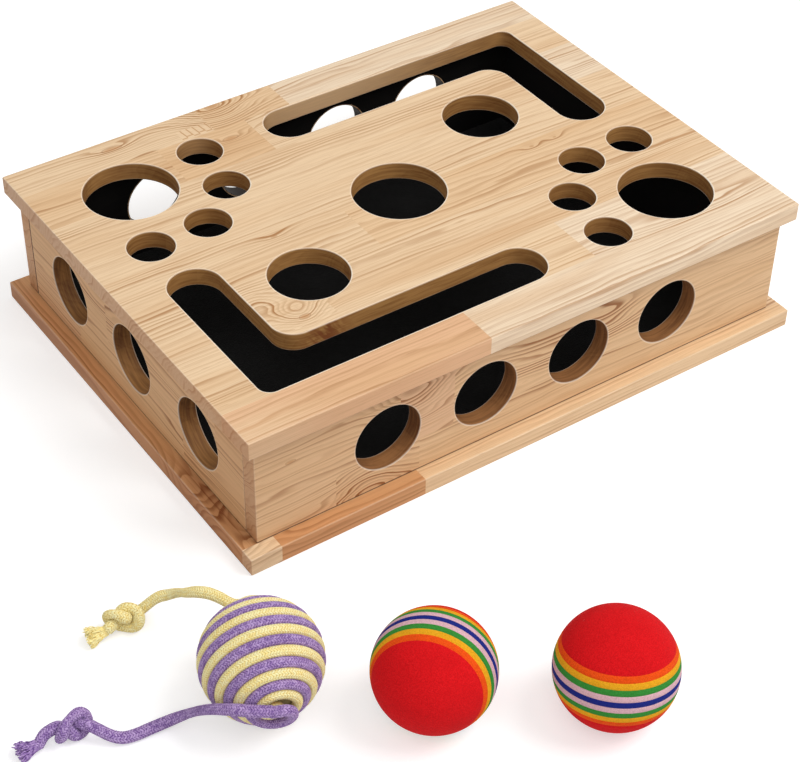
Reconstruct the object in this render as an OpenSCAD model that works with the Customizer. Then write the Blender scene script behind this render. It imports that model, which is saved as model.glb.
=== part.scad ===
// Wooden puzzle box for cats, with two striped foam balls and a cord-wound ball standing in front of it.
// The origin is at the centre of the base's underside. X runs along the long front wall, Y to the back, Z up.

/* [Boards] */
// Length of the top board
top_l = 400; // [380:1:480]
// Width of the top board
top_w = 297; // [280:1:360]
// Thickness of the top board
top_t = 12; // [10:0.5:18]
// How far the top reaches past the walls
top_overhang = 6.5; // [2:0.5:12]
// Height of the walls
wall_h = 72; // [66:1:110]
// Thickness of the walls
wall_t = 12; // [10:0.5:16]
// Thickness of the base
base_t = 12; // [9:0.5:18]
// How far the base reaches past the walls
base_overhang = 10; // [2:0.5:20]

/* [Paw cut-outs in the top] */
// Diameter of the pad hole of a paw
pad_d = 60; // [45:0.5:64]
// Distance from the end of the top to the pad hole's centre
pad_end = 60; // [56:0.5:75]
// Distance from the long edge of the top to the pad hole's centre
pad_edge = 57.5; // [54:0.5:70]
// Diameter of a toe hole
toe_d = 29.5; // [20:0.5:33]
// Distance from the pad hole's centre to the toe holes
toe_reach = 59.5; // [52:0.5:66]
// Angle from one toe hole to the next
toe_step = 40.3; // [36:0.1:44]

/* [Slots and round holes in the top] */
// Width of the angled slots
slot_w = 34; // [20:0.5:38]
// Distance from the end of the top to a slot
slot_end = 28.5; // [26:0.5:45]
// Distance from the long edge of the top to a slot
slot_edge = 29; // [24:0.5:40]
// Length of a slot's long leg
slot_long = 205; // [120:1:220]
// Length of a slot's short leg
slot_short = 122; // [80:1:124]
// Rounding of the board's corner inside the bend of a slot
slot_inner_r = 15; // [4:0.5:30]
// Rounding of a slot's outer corner
slot_outer_r = 8; // [3:0.5:15]
// Diameter of the hole in the middle of the top
middle_d = 60; // [40:0.5:70]
// Diameter of the round hole inside the bend of each slot
round_d = 50; // [30:0.5:56]
// Distance of that hole's centre from the slot's long leg
round_from_long = 45; // [40:0.5:55]
// Distance of that hole's centre from the slot's short leg
round_from_short = 45; // [40:0.5:60]

/* [Side holes] */
// Diameter of the holes in the walls
side_d = 45; // [30:0.5:48]
// Number of holes in a long wall
long_holes = 4; // [2:1:4]
// Distance between holes in a long wall
long_pitch = 69.5; // [60:0.5:74]
// Distance that the back wall's holes stand to the right of the front wall's
back_shift = 3; // [0:0.5:5]
// Distance that the back wall's holes stand above the front wall's
back_lift = 3; // [0:0.5:5]
// Number of holes in the left wall
short_holes = 3; // [2:1:3]
// Number of holes in the right wall, at most as many as in the left one
right_holes = 0; // [0:3:3]
// Distance between holes in a short wall
short_pitch = 79; // [60:0.5:82]

/* [Joinery] */
// Diameter of the dowels
dowel_d = 6; // [4:0.5:8]
// Length of a dowel between a long wall and a short wall
corner_dowel_l = 22; // [16:1:26]
// How far a corner dowel goes into the long wall
corner_bite = 8; // [5:0.5:9]
// Height of the corner dowels above and below the wall's edges
corner_inset = 14; // [10:0.5:20]
// Length of a dowel between a wall and the top
top_dowel_l = 19; // [14:1:22]
// How far a top dowel goes into the top
top_bite = 7; // [4:0.5:9]
// Diameter of the base screws
screw_d = 4; // [3:0.1:5]
// Diameter of the screw heads
screw_head_d = 8; // [6:0.1:10]
// Length of the base screws
screw_l = 28; // [22:1:32]
// Play round a dowel or a screw
joint_play = 0.05; // [0.02:0.01:0.2]

/* [Mat] */
// Thickness of the scratch mat on the floor of the box
mat_t = 3; // [2:0.5:6]
// Play between the mat and the walls
mat_play = 0.8; // [0.3:0.1:4]

/* [Foam balls] */
// Diameter of the balls
ball_d = 67; // [58:0.5:68]
// Thickness of a coloured foam layer
layer_t = 3.4; // [2.4:0.1:3.6]
// Distance of the first foam ball from the base's left end, to the right
ball_a_right = 28; // [20:0.5:36]
// Distance of the first foam ball in front of the base
ball_a_front = 137; // [132:0.5:180]
// Distance of the second foam ball from the base's left end, to the right
ball_b_right = 107.5; // [100:0.5:160]
// Distance of the second foam ball in front of the base
ball_b_front = 188; // [180:0.5:240]

/* [Rope ball] */
// Diameter of the cord where it is wound tight
cord_d = 5; // [4:0.1:6]
// Diameter of the cord where it runs free
tail_d = 6.4; // [5:0.1:7]
// Least gap between neighbouring turns
cord_gap = 0.45; // [0.42:0.01:1]
// Distance of the rope ball from the base's left end, to the left
rope_left = 42.5; // [40:0.5:80]
// Distance of the rope ball in front of the base
rope_front = 81.5; // [72:0.5:90]

/* [Hidden] */
$fn = 64;
// Small reach of a cutting tool past the face that it cuts
past = 1;

// Outer half sizes of the walls and the base, and the heights of the boards
wall_x = top_l / 2 - top_overhang;
wall_y = top_w / 2 - top_overhang;
base_x = wall_x + base_overhang;
base_y = wall_y + base_overhang;
top_z = base_t + wall_h;
side_z = base_t + wall_h / 2;

// Centres of the left paw's pad hole and of the front slot's round hole
pad_at = [pad_end - top_l / 2, top_w / 2 - pad_edge];
toe_mid = -46.5;
slot_at = [slot_end - top_l / 2, slot_edge - top_w / 2];
// Lengths of a slot's legs, which stop short of the toe holes on a small top
paw_reach = toe_reach + toe_d / 2;
least_bridge = 12;
long_leg = min(slot_long, top_l - slot_end - pad_end - paw_reach - least_bridge);
short_leg = min(slot_short, top_w - slot_edge - pad_edge - paw_reach - least_bridge);
round_at = slot_at + [slot_w + round_from_short, slot_w + round_from_long];

// Places of the dowels and screws along each wall, between its holes
long_spots = [for (i = [0 : long_holes]) (i - long_holes / 2) * long_pitch];
short_spots = [for (i = [1 : short_holes - 1]) (i - short_holes / 2) * short_pitch];
edge_spots = [
    for (x = long_spots, s = [-1, 1]) [x, s * (wall_y - wall_t / 2)],
    for (y = short_spots, s = [-1, 1]) [s * (wall_x - wall_t / 2), y]];

// Where the balls stand, and how they are turned
ball_a_at = [ball_a_right - base_x, -base_y - ball_a_front, ball_d / 2];
ball_b_at = [ball_b_right - base_x, -base_y - ball_b_front, ball_d / 2];
ball_a_turn = [0, 79, 220];
ball_b_turn = [0, 14, 52];
rope_at = [-base_x - rope_left, -base_y - rope_front, ball_d / 2];
rope_dip = 6.2;
rope_heading = 71.2;
rope_spin = 31.9;

// The winding: two cords side by side, from pole to pole of the ball
wind_r = ball_d / 2 - cord_d / 2;
core_r = ball_d / 2 - cord_d - 0.3;
ring_count = 24;
pole_angle = 6;
tuck_angle = 11;
tuck_in = 4;
tuck_turns = 0.5;
lift_h = (cord_d + tail_d) / 2 + 0.4;
lift_turns = 0.9;
wind_arc = 180 - 2 * pole_angle;
turns = floor(wind_arc * PI / 180 * wind_r / (2 * (cord_d + cord_gap)));
turn_step = wind_arc / turns;
wind_last = floor((180 - pole_angle - tuck_angle - tuck_in) / turn_step * ring_count);
// Rings at which the two cords leave the winding for their tails
purple_first = 4;
yellow_first = -2;

// The free cords: points from the ball's centre across the floor, with their heights above the floor
purple_route = [[-19.3, -32.6, 37.9], [-24.6, -29.2, 38.4], [-29.2, -24.5, 37.6], [-32.8, -18.9, 34.9],
    [-35.5, -12.4, 30.4], [-37.8, -5.6, 24.6], [-39.8, 0.6, 18.4], [-42.2, 6, 12.4], [-46.2, 10.6, 7.4],
    [-52.2, 13.6, 4.4], [-60, 15, 3.3], [-68, 15.6, 3.3], [-75, 17.6, 3.3], [-80.8, 22, 3.3],
    [-85.2, 27.8, 4.6]];
purple_knot_at = [-95.5, 37, 9.9];
purple_knot_heading = 152;
purple_end = [[-109, 40.5, 6.2], [-116, 39.4, 4.4], [-122.5, 36.8, 4.5]];
yellow_route = [[3, 38.7, 38.8], [-0.6, 41.9, 39.8], [-2.6, 46.6, 40], [-3.3, 52.4, 38.8], [-4, 58.4, 36.2],
    [-5.4, 64.6, 32], [-7.4, 70.6, 26.4], [-10, 76.2, 20.2], [-13.6, 81, 14.4], [-18.6, 84.6, 10.4],
    [-24.4, 86.4, 9.2]];
yellow_knot_at = [-36, 86, 9.9];
yellow_knot_heading = 187;
yellow_end = [[-48.5, 85.3, 6.2], [-55, 85.8, 4.4], [-61.5, 86.6, 4.5]];
knot_run = 6;
knot_lean = 12;
tail_sides = 8;
fray = [1, 1.15, 1.35];

wood_top = "#e3c092";
wood_wall = "#c89a70";
wood_base = "#d0a070";
purple = "#8e68b4";
yellow = "#e6d689";

function unit(v) = v / norm(v);
function smooth(u) = let (c = min(1, max(0, u))) c * c * (3 - 2 * c);

// Point of the winding at ring i, with the ball's near pole along Z, for a cord that leaves at the ring first
function wind_point(i, first) =
    let (k = i / ring_count,
        polar = pole_angle + turn_step * k + tuck_in * smooth(1 - (wind_last / ring_count - k) / tuck_turns),
        r = wind_r + lift_h * smooth(1 - (i - first) / ring_count / lift_turns))
    r * [sin(polar) * cos(-360 * k), sin(polar) * sin(-360 * k), cos(polar)];
function wind_points(first) = [for (i = [first : wind_last]) wind_point(i, first)];
function wind_start(first) = unit(wind_point(first, first) - wind_point(first + 1, first));
function wind_stop(first) = unit(wind_point(wind_last, first) - wind_point(wind_last - 1, first));
// The winding's centre line, with a straight cord's width at each end
function wind_path(first) = concat(
    [wind_point(first, first) + cord_d * wind_start(first)],
    wind_points(first),
    [wind_point(wind_last, first) + cord_d * wind_stop(first)]);

// Turns a direction or a point of the rope ball from the winding's axes to the room's
function turned(x, y, angle) = [x * cos(angle) - y * sin(angle), x * sin(angle) + y * cos(angle)];
function rope_turned(v) =
    let (spun = turned(v.x, v.y, rope_spin), tipped = turned(v.z, spun.x, -90 - rope_dip),
        headed = turned(tipped.y, spun.y, rope_heading))
    [headed.x, headed.y, tipped.x];
function half_turn(v) = [-v.x, v.y, -v.z];

// Least gaps, measured between the points of the cords' centre lines
function self_gap(p) =
    min([for (i = [0 : len(p) - 13], j = [i + 12 : len(p) - 1]) norm(p[i] - p[j])]) - cord_d;
function pair_gap(p, q) = min([for (a = p, b = q) norm(a - half_turn(b))]) - cord_d;

// Ring of points round p, square to the direction along, with one point towards the direction up
function ring(p, along, up, r, sides) =
    let (t = unit(along), u = unit(up - (up * t) * t), s = cross(t, u))
    [for (j = [0 : sides - 1]) p + r * (cos(360 * j / sides) * u + sin(360 * j / sides) * s)];
function along(p, i) = p[min(i + 1, len(p) - 1)] - p[max(i - 1, 0)];

// Closed skin over a row of rings
module skin(rings) {
    n = len(rings[0]);
    m = len(rings);
    polyhedron([for (r = rings) each r], concat(
        [[for (j = [0 : n - 1]) j]],
        [for (i = [0 : m - 2], j = [0 : n - 1]) each
            [[i * n + j, (i + 1) * n + j, (i + 1) * n + (j + 1) % n],
            [i * n + j, (i + 1) * n + (j + 1) % n, i * n + (j + 1) % n]]],
        [[for (j = [n - 1 : -1 : 0]) (m - 1) * n + j]]));
}

// A board lying flat, centred on the origin's axis
module board(half_x, half_y, z, t) {
    translate([-half_x, -half_y, z]) cube([2 * half_x, 2 * half_y, t]);
}

// Angled slot with its outer corner at the origin, its long leg along X and its short leg along Y
module slot_cut() {
    r = slot_w / 2;
    difference() {
        union() {
            square([long_leg - r, slot_w]);
            square([slot_w, short_leg - r]);
            translate([long_leg - r, r]) circle(r);
            translate([r, short_leg - r]) circle(r);
            translate([slot_w, slot_w]) difference() {
                square(slot_inner_r);
                translate([slot_inner_r, slot_inner_r]) circle(slot_inner_r);
            }
        }
        difference() {
            square(slot_outer_r);
            translate([slot_outer_r, slot_outer_r]) circle(slot_outer_r);
        }
    }
}

// Half of the top's cut-outs: the other half is the same, turned about the middle
module half_cuts() {
    translate(pad_at) {
        circle(d = pad_d);
        for (i = [0 : 3]) rotate(toe_mid + (i - 1.5) * toe_step) translate([toe_reach, 0]) circle(d = toe_d);
    }
    translate(slot_at) slot_cut();
    translate(round_at) circle(d = round_d);
}

module dowel_hole(l) {
    cylinder(d = dowel_d + 2 * joint_play, h = l);
}

module base_panel() {
    color(wood_base) difference() {
        board(base_x, base_y, 0, base_t);
        for (p = edge_spots) translate(p) {
            translate([0, 0, -past]) cylinder(d = screw_d + 2 * joint_play, h = base_t + 2 * past);
            screw_head(joint_play);
        }
    }
}

// Countersunk head, flush with the underside of the base
module screw_head(play) {
    drop = (screw_head_d - screw_d) / 2;
    cylinder(d1 = screw_head_d + 2 * play, d2 = screw_d + 2 * play, h = drop);
}

module base_screws() {
    color("#b9bcc0") for (p = edge_spots) translate(p) rotate_extrude() polygon([
        [0, 0], [screw_head_d / 2, 0], [screw_d / 2, (screw_head_d - screw_d) / 2],
        [screw_d / 2, screw_l - screw_d], [0, screw_l]]);
}

// Wall of half length half_l along X, standing on the base, with its row of holes and its fastenings' holes
module wall(half_l, holes, pitch, spots, shift = 0, lift = 0) {
    difference() {
        translate([-half_l, -wall_t / 2, base_t]) cube([2 * half_l, wall_t, wall_h]);
        for (i = [0 : 1 : holes - 1])
            translate([(i - (holes - 1) / 2) * pitch + shift, wall_t / 2 + past, side_z + lift])
            rotate([90, 0, 0]) cylinder(d = side_d, h = wall_t + 2 * past);
        for (x = spots) {
            translate([x, 0, top_z + top_bite - top_dowel_l - joint_play]) dowel_hole(top_dowel_l);
            translate([x, 0, base_t - past])
                cylinder(d = screw_d + 2 * joint_play, h = screw_l - base_t + 2 * past);
        }
    }
}

// Places a short wall's dowels at both ends: their outer ends are buried in the long walls
module at_corner_dowels() {
    for (sx = [-1, 1], sy = [-1, 1], z = [base_t + corner_inset, top_z - corner_inset])
        translate([sx * (wall_x - wall_t / 2), sy * (wall_y - wall_t + corner_bite), z])
            rotate([sy * 90, 0, 0]) children();
}

module long_wall(side, shift, lift) {
    color(wood_wall) difference() {
        translate([0, side * (wall_y - wall_t / 2), 0])
            wall(wall_x, long_holes, long_pitch, long_spots, shift, lift);
        at_corner_dowels() translate([0, 0, -joint_play]) dowel_hole(corner_dowel_l);
    }
}

module short_wall(side, holes) {
    color(wood_wall) difference() {
        translate([side * (wall_x - wall_t / 2), 0, 0]) rotate([0, 0, 90])
            wall(wall_y - wall_t, holes, short_pitch, short_spots);
        at_corner_dowels() dowel_hole(corner_dowel_l + joint_play);
    }
}

module front_wall() { long_wall(-1, 0, 0); }
module back_wall() { long_wall(1, back_shift, back_lift); }
module left_wall() { short_wall(-1, short_holes); }
module right_wall() { short_wall(1, min(right_holes, short_holes)); }

module corner_dowels() {
    color("#d9b98c") at_corner_dowels() cylinder(d = dowel_d, h = corner_dowel_l);
}

module top_dowels() {
    color("#d9b98c") for (p = edge_spots)
        translate([p.x, p.y, top_z + top_bite - top_dowel_l]) cylinder(d = dowel_d, h = top_dowel_l);
}

module top_panel() {
    color(wood_top) difference() {
        board(top_l / 2, top_w / 2, top_z, top_t);
        translate([0, 0, top_z - past]) linear_extrude(top_t + 2 * past) {
            half_cuts();
            rotate(180) half_cuts();
            circle(d = middle_d);
        }
        for (p = edge_spots) translate([p.x, p.y, top_z - past]) dowel_hole(top_bite + past + joint_play);
    }
}

// Mat on the floor of the box, laid between the walls
module scratch_mat() {
    color("#1b1b1d") board(wall_x - wall_t - mat_play, wall_y - wall_t - mat_play, base_t, mat_t);
}

// Slices of a ball from the height low to the height high on each side of its middle
module slices(low, high) {
    for (s = [0, 1]) mirror([0, 0, s]) intersection() {
        sphere(d = ball_d);
        translate([0, 0, low]) cylinder(d = 2 * ball_d, h = high - low);
    }
}

// Slice of the ball's own middle layer
module middle_slice() {
    intersection() {
        sphere(d = ball_d);
        translate([0, 0, -layer_t / 2]) cylinder(d = 2 * ball_d, h = layer_t);
    }
}

module on_ball_a() { translate(ball_a_at) rotate(ball_a_turn) children(); }
module on_ball_b() { translate(ball_b_at) rotate(ball_b_turn) children(); }

// Pair of layers number i, counted from the middle layer
module layer(i) { slices((i - 0.5) * layer_t, (i + 0.5) * layer_t); }
module caps() { slices(4.5 * layer_t, ball_d); }

module ball_a_blue() { color("#27348b") on_ball_a() middle_slice(); }
module ball_a_pink() { color("#efc9d6") on_ball_a() layer(1); }
module ball_a_green() { color("#3f9a3c") on_ball_a() layer(2); }
module ball_a_yellow() { color("#f2b722") on_ball_a() layer(3); }
module ball_a_orange() { color("#f4601c") on_ball_a() layer(4); }
module ball_a_red() { color("#d01c22") on_ball_a() caps(); }
module ball_b_blue() { color("#27348b") on_ball_b() middle_slice(); }
module ball_b_pink() { color("#efc9d6") on_ball_b() layer(1); }
module ball_b_green() { color("#3f9a3c") on_ball_b() layer(2); }
module ball_b_yellow() { color("#f2b722") on_ball_b() layer(3); }
module ball_b_orange() { color("#f4601c") on_ball_b() layer(4); }
module ball_b_red() { color("#d01c22") on_ball_b() caps(); }

module rope_core() {
    color("#c9a77a") translate(rope_at) sphere(r = core_r);
}

// One cord wound from pole to pole, in one unbroken tube
module winding(first) {
    path = wind_path(first);
    last = len(path) - 1;
    echo(str("least gap of a winding to itself: ", self_gap(wind_points(first)), " mm"));
    skin([for (i = [0 : last])
        let (k = min(max(i, 1), last - 1),
            t = k == 1 ? -wind_start(first) : k == last - 1 ? wind_stop(first) : along(path, k))
        ring(path[i], t, path[k], cord_d / 2, 6)]);
}

module on_rope_ball() {
    translate(rope_at) rotate([0, -90 - rope_dip, rope_heading]) rotate(rope_spin) children();
}

module purple_winding() {
    gap = pair_gap(wind_path(purple_first), wind_path(yellow_first));
    echo(str("least gap between the two windings: ", gap, " mm"));
    color(purple) on_rope_ball() winding(purple_first);
}

module yellow_winding() { color(yellow) on_rope_ball() rotate([0, 180, 0]) winding(yellow_first); }

// Free cord from the end of a winding, through its knot to its frayed end
module tail(start, start_dir, route, knot_at, heading, end_route) {
    run = knot_run * [cos(heading), sin(heading), 0];
    floor_at = [rope_at.x, rope_at.y, 0];
    over_floor = concat(route, [knot_at - run, knot_at + run], end_route);
    points = concat([rope_at + start], [for (p = over_floor) floor_at + p]);
    last = len(points) - 1;
    skin([for (i = [0 : last]) ring(points[i], i == 0 ? start_dir : along(points, i), [0, 0, 1],
        tail_d / 2 * fray[max(0, i - last + 2)], tail_sides)]);
}

module purple_tail() {
    color(purple) tail(rope_turned(wind_path(purple_first)[0]), rope_turned(wind_start(purple_first)),
        purple_route, purple_knot_at, purple_knot_heading, purple_end);
}

module yellow_tail() {
    color(yellow) tail(rope_turned(half_turn(wind_path(yellow_first)[0])),
        rope_turned(half_turn(wind_start(yellow_first))),
        yellow_route, yellow_knot_at, yellow_knot_heading, yellow_end);
}

// Turn of the knot round its own cord
module knot(at, heading) {
    translate([rope_at.x, rope_at.y, 0] + at) rotate([0, 90 - knot_lean, heading])
        rotate_extrude() translate([tail_d, 0]) circle(d = tail_d);
}

module purple_knot() { color(purple) knot(purple_knot_at, purple_knot_heading); }
module yellow_knot() { color(yellow) knot(yellow_knot_at, yellow_knot_heading); }

base_panel();
front_wall();
back_wall();
left_wall();
right_wall();
top_panel();
corner_dowels();
top_dowels();
base_screws();
scratch_mat();
ball_a_red();
ball_a_orange();
ball_a_yellow();
ball_a_green();
ball_a_pink();
ball_a_blue();
ball_b_red();
ball_b_orange();
ball_b_yellow();
ball_b_green();
ball_b_pink();
ball_b_blue();
rope_core();
purple_winding();
yellow_winding();
purple_tail();
yellow_tail();
purple_knot();
yellow_knot();
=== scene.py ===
import math

import bmesh
import bpy
import numpy as np
from mathutils import Matrix, Vector
from mathutils.geometry import delaunay_2d_cdt


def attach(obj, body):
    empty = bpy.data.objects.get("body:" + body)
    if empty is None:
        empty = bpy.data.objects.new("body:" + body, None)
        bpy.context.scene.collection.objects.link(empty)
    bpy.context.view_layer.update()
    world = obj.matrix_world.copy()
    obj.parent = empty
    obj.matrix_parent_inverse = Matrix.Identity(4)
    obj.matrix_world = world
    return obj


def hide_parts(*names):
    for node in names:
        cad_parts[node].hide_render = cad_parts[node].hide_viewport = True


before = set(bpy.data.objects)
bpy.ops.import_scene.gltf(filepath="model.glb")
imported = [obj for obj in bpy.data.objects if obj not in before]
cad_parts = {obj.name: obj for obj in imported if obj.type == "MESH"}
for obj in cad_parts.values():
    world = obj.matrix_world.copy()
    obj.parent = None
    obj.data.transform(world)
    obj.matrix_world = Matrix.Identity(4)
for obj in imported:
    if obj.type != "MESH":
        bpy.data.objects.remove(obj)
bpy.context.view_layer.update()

# Wooden puzzle box for cats with two striped foam balls and a rope ball beside it.
# Everything is in metres, in the frame of the CAD.

mm = 0.001


def paint(code):  # "#rrggbb" as the linear colour that a shader takes
    parts = [int(code[i:i + 2], 16) / 255 for i in (1, 3, 5)]
    return tuple(c / 12.92 if c <= 0.04045 else ((c + 0.055) / 1.055) ** 2.4 for c in parts) + (1.0,)


def ease(t):
    t = min(max(t, 0.0), 1.0)
    return t * t * (3 - 2 * t)


class Wire:
    # one socket of a node tree, so that sums on it read as sums
    def __init__(self, tree, socket=None):
        self.tree = tree
        self.socket = socket

    def add(self, kind, settings=None, values=None, out=0):
        node = self.tree.nodes.new(kind)
        for key, value in (settings or {}).items():
            if key == "stops":
                ramp = node.color_ramp
                ramp.interpolation = "CONSTANT"
                ramp.elements[0].color = value[0][1]
                ramp.elements[1].color = value[-1][1]
                for place, colour in value[1:]:
                    ramp.elements.new(place).color = colour
            else:
                setattr(node, key, value)
        for key, value in (values or {}).items():
            socket = node.inputs[key]
            if isinstance(value, Wire):
                self.tree.links.new(value.socket, socket)
            else:
                socket.default_value = value
        return Wire(self.tree, node.outputs[out])

    def other(self, out):  # another output of the same node
        return Wire(self.tree, self.socket.node.outputs[out])

    def maths(self, operation, *values):
        return self.add("ShaderNodeMath", {"operation": operation}, dict(enumerate(values)))

    def __add__(self, value):
        return self.maths("ADD", self, value)

    def __radd__(self, value):
        return self.maths("ADD", value, self)

    def __sub__(self, value):
        return self.maths("SUBTRACT", self, value)

    def __rsub__(self, value):
        return self.maths("SUBTRACT", value, self)

    def __mul__(self, value):
        return self.maths("MULTIPLY", self, value)

    def __truediv__(self, value):
        return self.maths("DIVIDE", self, value)

    def __pow__(self, value):
        return self.maths("POWER", self, value)

    def __abs__(self):
        return self.maths("ABSOLUTE", self)

    def floor(self):
        return self.maths("FLOOR", self)

    def fract(self):
        return self.maths("FRACT", self)

    def rise(self, low, high):  # 0 at low, 1 at high, smooth between
        return self.add("ShaderNodeMapRange", {"interpolation_type": "SMOOTHSTEP"},
                        {"Value": self, "From Min": low, "From Max": high})

    def mix(self, first, second, kind="MIX"):  # colours, mixed by this value
        return self.add("ShaderNodeMix", {"data_type": "RGBA", "blend_type": kind},
                        {0: self, 6: first, 7: second}, 2)

    def vector(self, x, y, z):
        return self.add("ShaderNodeCombineXYZ", {}, {0: x, 1: y, 2: z})

    def split(self):
        parts = self.add("ShaderNodeSeparateXYZ", {}, {0: self})
        return parts, parts.other(1), parts.other(2)

    def vectorMaths(self, operation, *values):
        return self.add("ShaderNodeVectorMath", {"operation": operation}, dict(enumerate(values)))

    def scaled(self, size):  # a vector, longer or shorter
        return self.add("ShaderNodeVectorMath", {"operation": "SCALE"}, {0: self, "Scale": size})

    def noise(self, place, scale, detail=2.0, rough=0.5):
        return self.add("ShaderNodeTexNoise", {},
                        {"Vector": place, "Scale": scale, "Detail": detail, "Roughness": rough})

    def attribute(self, name, out="Fac"):  # of the mesh, for a shader
        return self.add("ShaderNodeAttribute", {"attribute_name": name}, {}, out)

    def store(self, name, value, kind="FLOAT"):  # a value on every point of a shape
        return self.add("GeometryNodeStoreNamedAttribute", {"data_type": kind, "domain": "POINT"},
                        {"Geometry": self, "Name": name, "Value": value})

    def stored(self, name, kind="FLOAT"):
        return self.add("GeometryNodeInputNamedAttribute", {"data_type": kind}, {"Name": name})


def newMaterial(name, sockets):
    material = bpy.data.materials.new(name)
    material.use_nodes = True
    shader = material.node_tree.nodes["Principled BSDF"]
    for key, value in sockets.items():
        shader.inputs[key].default_value = value
    return material, Wire(material.node_tree), shader


def finishMaterial(pen, shader, colour, rough, height, distance, strength=1.0):
    pen.tree.links.new(colour.socket, shader.inputs["Base Color"])
    pen.tree.links.new(rough.socket, shader.inputs["Roughness"])
    bump = pen.add("ShaderNodeBump", {}, {"Height": height, "Distance": distance, "Strength": strength})
    pen.tree.links.new(bump.socket, shader.inputs["Normal"])


def objectPlace(pen):
    return pen.add("ShaderNodeTexCoord", {}, {}, "Object")


def addObject(name, mesh):
    piece = bpy.data.objects.new(name, mesh)
    bpy.context.scene.collection.objects.link(piece)
    return piece


def meshFromBm(name, bm, materials, sharp=0.7):
    mesh = bpy.data.meshes.new(name)
    bm.to_mesh(mesh)
    bm.free()
    for material in materials:
        mesh.materials.append(material)
    mesh.shade_smooth()
    mesh.set_sharp_from_angle(angle=sharp)
    return addObject(name, mesh)


def pathObject(name, points):  # a bare line that a node tree turns into a shape
    mesh = bpy.data.meshes.new(name)
    mesh.from_pydata([tuple(p) for p in points], [(i, i + 1) for i in range(len(points) - 1)], [])
    return addObject(name, mesh)


def newTree(name, sockets):
    tree = bpy.data.node_groups.new(name, "GeometryNodeTree")
    tree.interface.new_socket("Geometry", in_out="OUTPUT", socket_type="NodeSocketGeometry")
    tree.interface.new_socket("Geometry", in_out="INPUT", socket_type="NodeSocketGeometry")
    for label, kind in sockets.items():
        tree.interface.new_socket(label, in_out="INPUT", socket_type="NodeSocket" + kind)
    start = tree.nodes.new("NodeGroupInput")
    given = {socket.name: Wire(tree, socket) for socket in start.outputs if socket.name}
    return tree, Wire(tree), given


def endTree(pen, shape, material):
    shape = pen.add("GeometryNodeRealizeInstances", {}, {0: shape})
    shape = pen.add("GeometryNodeSetMaterial", {}, {"Geometry": shape, "Material": material})
    end = pen.tree.nodes.new("NodeGroupOutput")
    pen.tree.links.new(shape.socket, end.inputs[0])


def growTree(source, tree, values):  # runs the tree once and keeps a plain mesh
    name = source.name
    modifier = source.modifiers.new("shape", "NODES")
    modifier.node_group = tree
    for item in tree.interface.items_tree:
        if item.item_type == "SOCKET" and item.in_out == "INPUT" and item.name in values:
            modifier[item.identifier] = values[item.name]
    seen = source.evaluated_get(bpy.context.evaluated_depsgraph_get())
    mesh = bpy.data.meshes.new_from_object(seen)
    source.modifiers.clear()
    bpy.data.objects.remove(source)
    piece = addObject(name, mesh)
    piece.name = name
    mesh.name = name
    return piece


def settle(piece, body, slot, *nodes):
    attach(piece, body)
    if nodes:
        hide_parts(*nodes)
    return piece


# Camera at the photograph's view, image 800 by 762
camera = {
    "place": (-0.58224, -0.82864, 0.81388),
    "right": (0.824, -0.5664, 0.0152),
    "ahead": (0.4367, 0.6179, -0.6538),
    "lens": 89.07,
}


def makeCamera(spec):
    data = bpy.data.cameras.new("camera")
    data.lens = spec["lens"]
    data.sensor_width = 36
    data.sensor_fit = "HORIZONTAL"
    data.clip_end = 20
    eye = bpy.data.objects.new("camera", data)
    right = Vector(spec["right"]).normalized()
    back = -Vector(spec["ahead"]).normalized()
    up = back.cross(right).normalized()
    turn = Matrix((right, up, back)).transposed().to_4x4()
    eye.matrix_world = Matrix.Translation(spec["place"]) @ turn
    bpy.context.scene.collection.objects.link(eye)
    bpy.context.scene.camera = eye


makeCamera(camera)
print("camera set")


# Braided cotton cord of the rope ball
cordLook = {
    "columns": 12.0,     # herringbone columns round the cord
    "pitch": 1.45 * mm,  # from yarn to yarn along the cord
    "skew": 0.8,         # slant of the yarns, in pitches over one column
    "relief": 0.26 * mm,
    "step": 0.42 * mm,
    "loose": (22 * mm, 4 * mm),     # where the wound cord fills out towards its loose end
    "settled": (30 * mm, 75 * mm),  # where it comes to lie tight against the next turn and takes the painted contact shade
    "purple": ("#c1a3d6", "#7b559d", "#412765"),  # yarn crown (partly painted highlight), yarn, crease (painted shade)
    "yellow": ("#fff7bf", "#fae18a", "#c79c4a"),
}


def braid(around, run, look):  # height of the yarns, from 0 to 1, and a number for each yarn
    cosine, sine = around.split()[:2]
    column = (sine.maths("ARCTAN2", sine, cosine) / (2 * math.pi) + 0.5) * look["columns"]
    across = column.fract()
    side = (column.floor() * 0.5).fract() * 4 - 1
    along = run / look["pitch"] + side * (across - 0.5) * look["skew"]
    yarn = 1 - abs(along.fract() * 2 - 1) ** 2.2
    edge = 1 - abs(across * 2 - 1) ** 4 * 0.75
    return yarn * edge, along.floor() + column.floor() * 61.7


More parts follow.
